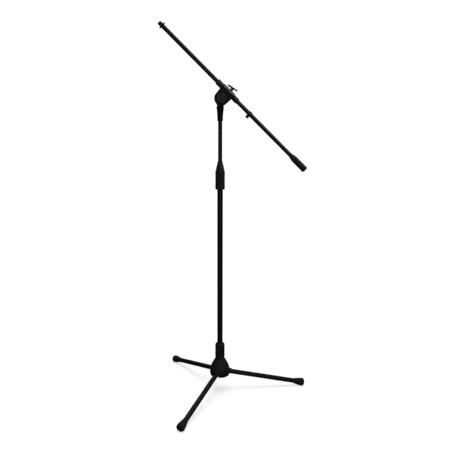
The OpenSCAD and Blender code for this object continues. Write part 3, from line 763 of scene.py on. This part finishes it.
def make_mic_thread(sizes):
    tip = along("mic_thread", BOOM)[0]
    end = along("boom_tube", BOOM)[0]
    pitch, outer, depth = sizes.thread_pitch / MM, 7.94, 0.5
    turns = int((end - tip) / pitch) + 3
    root, spare = outer - depth, 1.2 * pitch
    tooth = [(root, 0, 0), (root, 0, 0.12), (outer, 0, 0.42), (outer, 0, 0.54), (root, 0, pitch)]
    thread = drawn("mic_stud", tooth)
    apply_modifier(thread, "SCREW", axis="Z", angle=math.tau, screw_offset=pitch * MM, iterations=turns,
                   steps=40, render_steps=40, use_merge_vertices=False)
    edit(thread)
    bpy.ops.mesh.remove_doubles(threshold=1e-6)
    # the helix is longer than the stud, and is cut off flat at both ends
    for height, above in ((spare, False), (spare + end - tip, True)):
        bpy.ops.mesh.select_all(action="SELECT")
        bpy.ops.mesh.bisect(plane_co=(0, 0, height * MM), plane_no=(0, 0, 1),
                            clear_outer=above, clear_inner=not above)
        bpy.ops.mesh.edge_face_add()
    bpy.ops.mesh.select_all(action="SELECT")
    bpy.ops.mesh.normals_make_consistent(inside=False)
    leave()
    put(thread, Matrix.Translation((0, 0, (tip - spare) * MM)))
    envelope = [(0, tip), (outer - 1, tip), (outer + 0.3, tip + 1.3), (outer + 0.3, end + 1), (0, end + 1)]
    combine(thread, turned("envelope", envelope, 64), "INTERSECT")
    combine(thread, rod("stud_plug", 6.78, end - 1, end + 26), "UNION")
    edit(thread)
    bpy.ops.mesh.remove_doubles(threshold=1e-6)
    bpy.ops.mesh.fill_holes(sides=0)
    bpy.ops.mesh.normals_make_consistent(inside=False)
    leave()
    finished(put(thread, BOOM), "boom", "black_steel", "mic_thread", smooth=25)


def make_lock_ring():
    start, end = along("lock_ring", BOOM)
    r, bore, sides, notch_scale = radius("lock_ring", BOOM), 8.0, 144, 0.975
    outline = [(bore, start + 0.5), (bore + 0.5, start), (r - 3, start), (r - 2.6, start + 0.25),
               (r - 0.5, start + 0.25), (r, start + 0.75), (r, end - 0.75), (r - 0.5, end - 0.25),
               (r - 2.6, end - 0.25), (r - 3, end), (bore + 0.5, end), (bore, end - 0.5)]
    ring = turned("lock_ring_knurled", outline, sides)
    # every third line of the rim is drawn in to make the knurl
    for vertex in ring.data.vertices:
        notch = round(math.atan2(vertex.co.y, vertex.co.x) / math.tau * sides) % 3 == 0
        vertex.select = notch and vertex.co.xy.length > (r - 1) * MM
    activate(ring)
    bpy.ops.object.mode_set(mode="EDIT")
    bpy.ops.transform.resize(value=(notch_scale, notch_scale, 1), center_override=(0, 0, 0))
    leave()
    finished(put(ring, BOOM), "lock_ring", "black_steel", "lock_ring", smooth=20)


def make_rear_grip():
    start, end = along("rear_grip", BOOM)
    r, bore = radius("rear_grip", BOOM), radius("boom_tube", BOOM) + TIGHT_FIT
    lip, taper, edge, depth = bore + 0.9, 21, 2.5, start + 72
    rise = [(lip + (r - lip) * (1 - math.cos(math.pi * t)) / 2, start + 0.8 + (taper - 0.8) * t)
            for t in (i / 14 for i in range(15))]
    end_face = arc((r - edge, end - edge), edge, 0, 90, 7) + [(6, end), (5.4, end - 0.7), (0, end - 0.7)]
    outline = ([(0, depth), (bore, depth), (bore, start + 0.3), (bore + 0.3, start), (lip - 0.4, start)]
               + rise + end_face)
    finished(put(turned("rear_handgrip", outline, 80), BOOM), "boom", "grip_plastic", "rear_grip")


def make_cable_clip():
    start, end = along("cable_clip", BOOM)
    bore, hold_x, hold_r, mouth = radius("boom_tube", BOOM) + 0.08, -13.9, 3.9, 3.1
    ring = [(0, start), (9.4, start), (10, start + 0.6), (10, end - 0.6), (9.4, end), (0, end)]
    clip = turned("cable_clip_moulding", ring, 72)
    holder = block("holder", (-19.3, -6, start + 0.5), (-8, 6, end - 0.5))
    combine(clip, holder, "UNION")
    combine(clip, rod("clip_bore", bore, start - 5, end + 5), "DIFFERENCE")
    channel = put(rod("channel", hold_r, start - 5, end + 5), Matrix.Translation((hold_x * MM, 0, 0)))
    combine(clip, channel, "DIFFERENCE")
    gap = block("channel_mouth", (hold_x - mouth, -20, start - 5), (hold_x + mouth, 0, end + 5))
    combine(clip, gap, "DIFFERENCE")
    soften(clip, 0.4, 2)
    finished(put(clip, BOOM), "clip", "bush_plastic", "cable_clip")


# ---------------------------------------------------------------- stage

BACKDROP = 1.05  # brightness of the white that only the camera sees
STUDIO = 0.012  # brightness of the even light from all round
FLOOR_GLOW = 0.72
SENSOR_WIDTH = 36


def softbox(name, at, aim, size, radiance, glossy=True, diffuse=True, beam=180):
    """A rectangular soft light at one point, turned towards another. Its power follows from its radiance."""
    light = bpy.data.lights.new(name, "AREA")
    light.shape, light.size, light.size_y = "RECTANGLE", *size
    light.energy = radiance * math.pi * size[0] * size[1]
    light.spread = math.radians(beam)
    lamp = bpy.data.objects.new(name, light)
    lamp.location = at
    lamp.rotation_euler = (Vector(aim) - Vector(at)).to_track_quat("-Z", "Y").to_euler()
    lamp.visible_glossy = glossy
    lamp.visible_diffuse = diffuse
    bpy.context.scene.collection.objects.link(lamp)


def camera_switch(tree, unseen, seen, output):
    """Shows one shader to the camera and another to the light that bounces about."""
    mix = tree.nodes.new("ShaderNodeMixShader")
    rays = tree.nodes.new("ShaderNodeLightPath")
    tree.links.new(rays.outputs["Is Camera Ray"], mix.inputs["Fac"])
    tree.links.new(unseen, mix.inputs[1])
    tree.links.new(seen, mix.inputs[2])
    tree.links.new(mix.outputs["Shader"], output.inputs["Surface"])


def glow(tree, kind, strength):
    """A white background or emission of a strength."""
    node = tree.nodes.new(kind)
    node.inputs["Color"].default_value = (1, 1, 1, 1)
    node.inputs["Strength"].default_value = strength
    return node.outputs[0]


def make_world():
    """White for the camera, and a dim even studio for what it lights."""
    world = bpy.data.worlds.new("studio")
    bpy.context.scene.world = world
    world.use_nodes = True
    tree = world.node_tree
    tree.nodes.clear()
    output = tree.nodes.new("ShaderNodeOutputWorld")
    dim = glow(tree, "ShaderNodeBackground", STUDIO)
    camera_switch(tree, dim, glow(tree, "ShaderNodeBackground", BACKDROP), output)


def make_floor(floor_radius):
    """A pale floor that fades into the white backdrop away from the stand, and throws back little light."""
    clear_selection()
    bpy.ops.mesh.primitive_circle_add(vertices=128, radius=floor_radius, fill_type="NGON")
    floor = bpy.context.object
    floor.name = "floor"
    tree, shader = new_finish("floor_paint")
    output = next(node for node in tree.nodes if node.type == "OUTPUT_MATERIAL")
    shader.inputs["Base Color"].default_value = (0.62, 0.62, 0.62, 1)
    shader.inputs["Roughness"].default_value = 0.9
    shader.inputs["Specular IOR Level"].default_value = 0
    shader.inputs["Emission Color"].default_value = (1, 1, 1, 1)
    shader.inputs["Emission Strength"].default_value = FLOOR_GLOW
    fade = tree.nodes.new("ShaderNodeMixShader")
    coordinates = tree.nodes.new("ShaderNodeTexCoord")
    length = tree.nodes.new("ShaderNodeVectorMath")
    length.operation = "LENGTH"
    tree.links.new(coordinates.outputs["Object"], length.inputs[0])
    near, far = 0.6, 2.2
    tree.links.new(spread(tree, length.outputs["Value"], 0, 1, near, far), fade.inputs["Fac"])
    tree.links.new(shader.outputs["BSDF"], fade.inputs[1])
    tree.links.new(glow(tree, "ShaderNodeEmission", BACKDROP), fade.inputs[2])
    bounce = tree.nodes.new("ShaderNodeBsdfDiffuse")
    bounce.inputs["Color"].default_value = (0.08, 0.08, 0.08, 1)
    camera_switch(tree, bounce.outputs["BSDF"], fade.outputs["Shader"], output)
    floor.data.materials.append(bpy.data.materials["floor_paint"])


def make_camera(stage):
    """A camera in front of the stand, turned by its tilt, pan and roll."""
    tilt, pan = stage.tilt, stage.pan
    forward = Vector((math.sin(pan) * math.cos(tilt), math.cos(pan) * math.cos(tilt), -math.sin(tilt)))
    right = Vector((math.cos(pan), -math.sin(pan), 0))
    right = Matrix.Rotation(-stage.roll, 3, forward) @ right
    up = right.cross(forward)
    data = bpy.data.cameras.new("camera")
    data.sensor_width, data.lens = SENSOR_WIDTH, stage.lens
    camera = bpy.data.objects.new("camera", data)
    turn = Matrix((right, up, -forward)).transposed().to_4x4()
    camera.matrix_world = Matrix.Translation((0, -stage.distance, stage.height)) @ turn
    bpy.context.scene.collection.objects.link(camera)
    bpy.context.scene.camera = camera


# ---------------------------------------------------------------- operators

class STAND_OT_stage(bpy.types.Operator):
    """Sets the floor, the soft lights, the backdrop and the camera"""

    bl_idname = "stand.stage"
    bl_label = "Stage"

    def execute(self, context):
        stage = context.scene.stand_stage
        make_camera(stage)
        make_world()
        make_floor(stage.floor_radius)
        softbox("overhead_softbox", at=(0.1, -0.3, 3.4), aim=(0, 0, 0), size=(2.4, 2.4), radiance=3.6,
                glossy=False)
        softbox("bevel_softbox", at=(1.6, 0.1, 2.9), aim=(0.05, 0, 1.22), size=(1.1, 1.1), radiance=0.45,
                diffuse=False, beam=26)
        softbox("front_softbox", at=(0.3, -3.0, 1.3), aim=(0, 0, 0.8), size=(4.2, 2.4), radiance=0.42)
        softbox("back_softbox", at=(-0.8, 2.8, 1.6), aim=(0, 0, 0.8), size=(1.6, 2.0), radiance=0.6)
        context.scene.view_settings.view_transform = "Standard"
        context.scene.view_settings.look = "None"
        return {"FINISHED"}


class STAND_OT_finishes(bpy.types.Operator):
    """Makes the paints, plastics, rubber and metals"""

    bl_idname = "stand.finishes"
    bl_label = "Finishes"

    def execute(self, context):
        make_finishes(context.scene.stand_colours)
        return {"FINISHED"}


class STAND_OT_tubes(bpy.types.Operator):
    """Makes the column, boom and leg tubes"""

    bl_idname = "stand.tubes"
    bl_label = "Tubes"

    def execute(self, context):
        sizes = context.scene.stand_sizes
        tube("lower_tube", "base", COLUMN, sizes)
        tube("upper_tube", "column", COLUMN, sizes)
        tube("boom_tube", "boom", BOOM, sizes)
        for k in LEGS:
            tube(f"leg_tube_{k}", f"leg_{k}", leg_place(k), sizes)
        return {"FINISHED"}


class STAND_OT_base(bpy.types.Operator):
    """Makes the bell over the leg roots and the collar above it"""

    bl_idname = "stand.base"
    bl_label = "Base"

    def execute(self, context):
        make_bell(context.scene.stand_sizes)
        make_collar()
        return {"FINISHED"}


class STAND_OT_feet(bpy.types.Operator):
    """Makes the rubber feet"""

    bl_idname = "stand.feet"
    bl_label = "Feet"

    def execute(self, context):
        for k in LEGS:
            make_foot(k)
        return {"FINISHED"}


class STAND_OT_clutch(bpy.types.Operator):
    """Makes the hand grip of the column clutch"""

    bl_idname = "stand.clutch"
    bl_label = "Clutch"

    def execute(self, context):
        make_clutch_grip()
        return {"FINISHED"}


class STAND_OT_neck(bpy.types.Operator):
    """Makes the neck casting with its tongue"""

    bl_idname = "stand.neck"
    bl_label = "Neck"

    def execute(self, context):
        make_neck(context.scene.stand_sizes)
        return {"FINISHED"}


class STAND_OT_clamp(bpy.types.Operator):
    """Makes the clamp casting, its bush, the tilt axle, the knob and the key"""

    bl_idname = "stand.clamp"
    bl_label = "Clamp"

    def execute(self, context):
        make_clamp_body(context.scene.stand_sizes)
        make_sleeve()
        make_pivot()
        make_tilt_knob()
        make_key_bar()
        return {"FINISHED"}


class STAND_OT_boom_ends(bpy.types.Operator):
    """Makes the microphone thread, the lock ring, the rear grip and the cable clip"""

    bl_idname = "stand.boom_ends"
    bl_label = "Boom ends"

    def execute(self, context):
        make_mic_thread(context.scene.stand_sizes)
        make_lock_ring()
        make_rear_grip()
        make_cable_clip()
        return {"FINISHED"}


class STAND_OT_carried(bpy.types.Operator):
    """Gives the remaining inner pieces their finishes"""

    bl_idname = "stand.carried"
    bl_label = "Inner pieces"

    def execute(self, context):
        finish_carried_nodes()
        return {"FINISHED"}


STEPS = (STAND_OT_stage, STAND_OT_finishes, STAND_OT_tubes, STAND_OT_base, STAND_OT_feet, STAND_OT_clutch,
         STAND_OT_neck, STAND_OT_clamp, STAND_OT_boom_ends, STAND_OT_carried)


class STAND_PT_panel(bpy.types.Panel):
    """Lists the steps that build the stand"""

    bl_idname = "STAND_PT_panel"
    bl_label = "Microphone stand"
    bl_space_type = "VIEW_3D"
    bl_region_type = "UI"
    bl_category = "Stand"

    def draw(self, context):
        for step in STEPS:
            self.layout.operator(step.bl_idname)


GROUPS = {"stand_sizes": StandSizes, "stand_colours": StandColours, "stand_stage": StageSettings}


def register():
    for item in (*GROUPS.values(), *STEPS, STAND_PT_panel):
        bpy.utils.register_class(item)
    for name, group in GROUPS.items():
        setattr(bpy.types.Scene, name, PointerProperty(type=group))


def unregister():
    for name in GROUPS:
        delattr(bpy.types.Scene, name)
    for item in reversed((*GROUPS.values(), *STEPS, STAND_PT_panel)):
        bpy.utils.unregister_class(item)


def main():
    register()
    bpy.ops.stand.stage()
    bpy.ops.stand.finishes()
    bpy.ops.stand.tubes()
    bpy.ops.stand.base()
    bpy.ops.stand.feet()
    bpy.ops.stand.clutch()
    bpy.ops.stand.neck()
    bpy.ops.stand.clamp()
    bpy.ops.stand.boom_ends()
    bpy.ops.stand.carried()


if __name__ == "__main__":
    main()
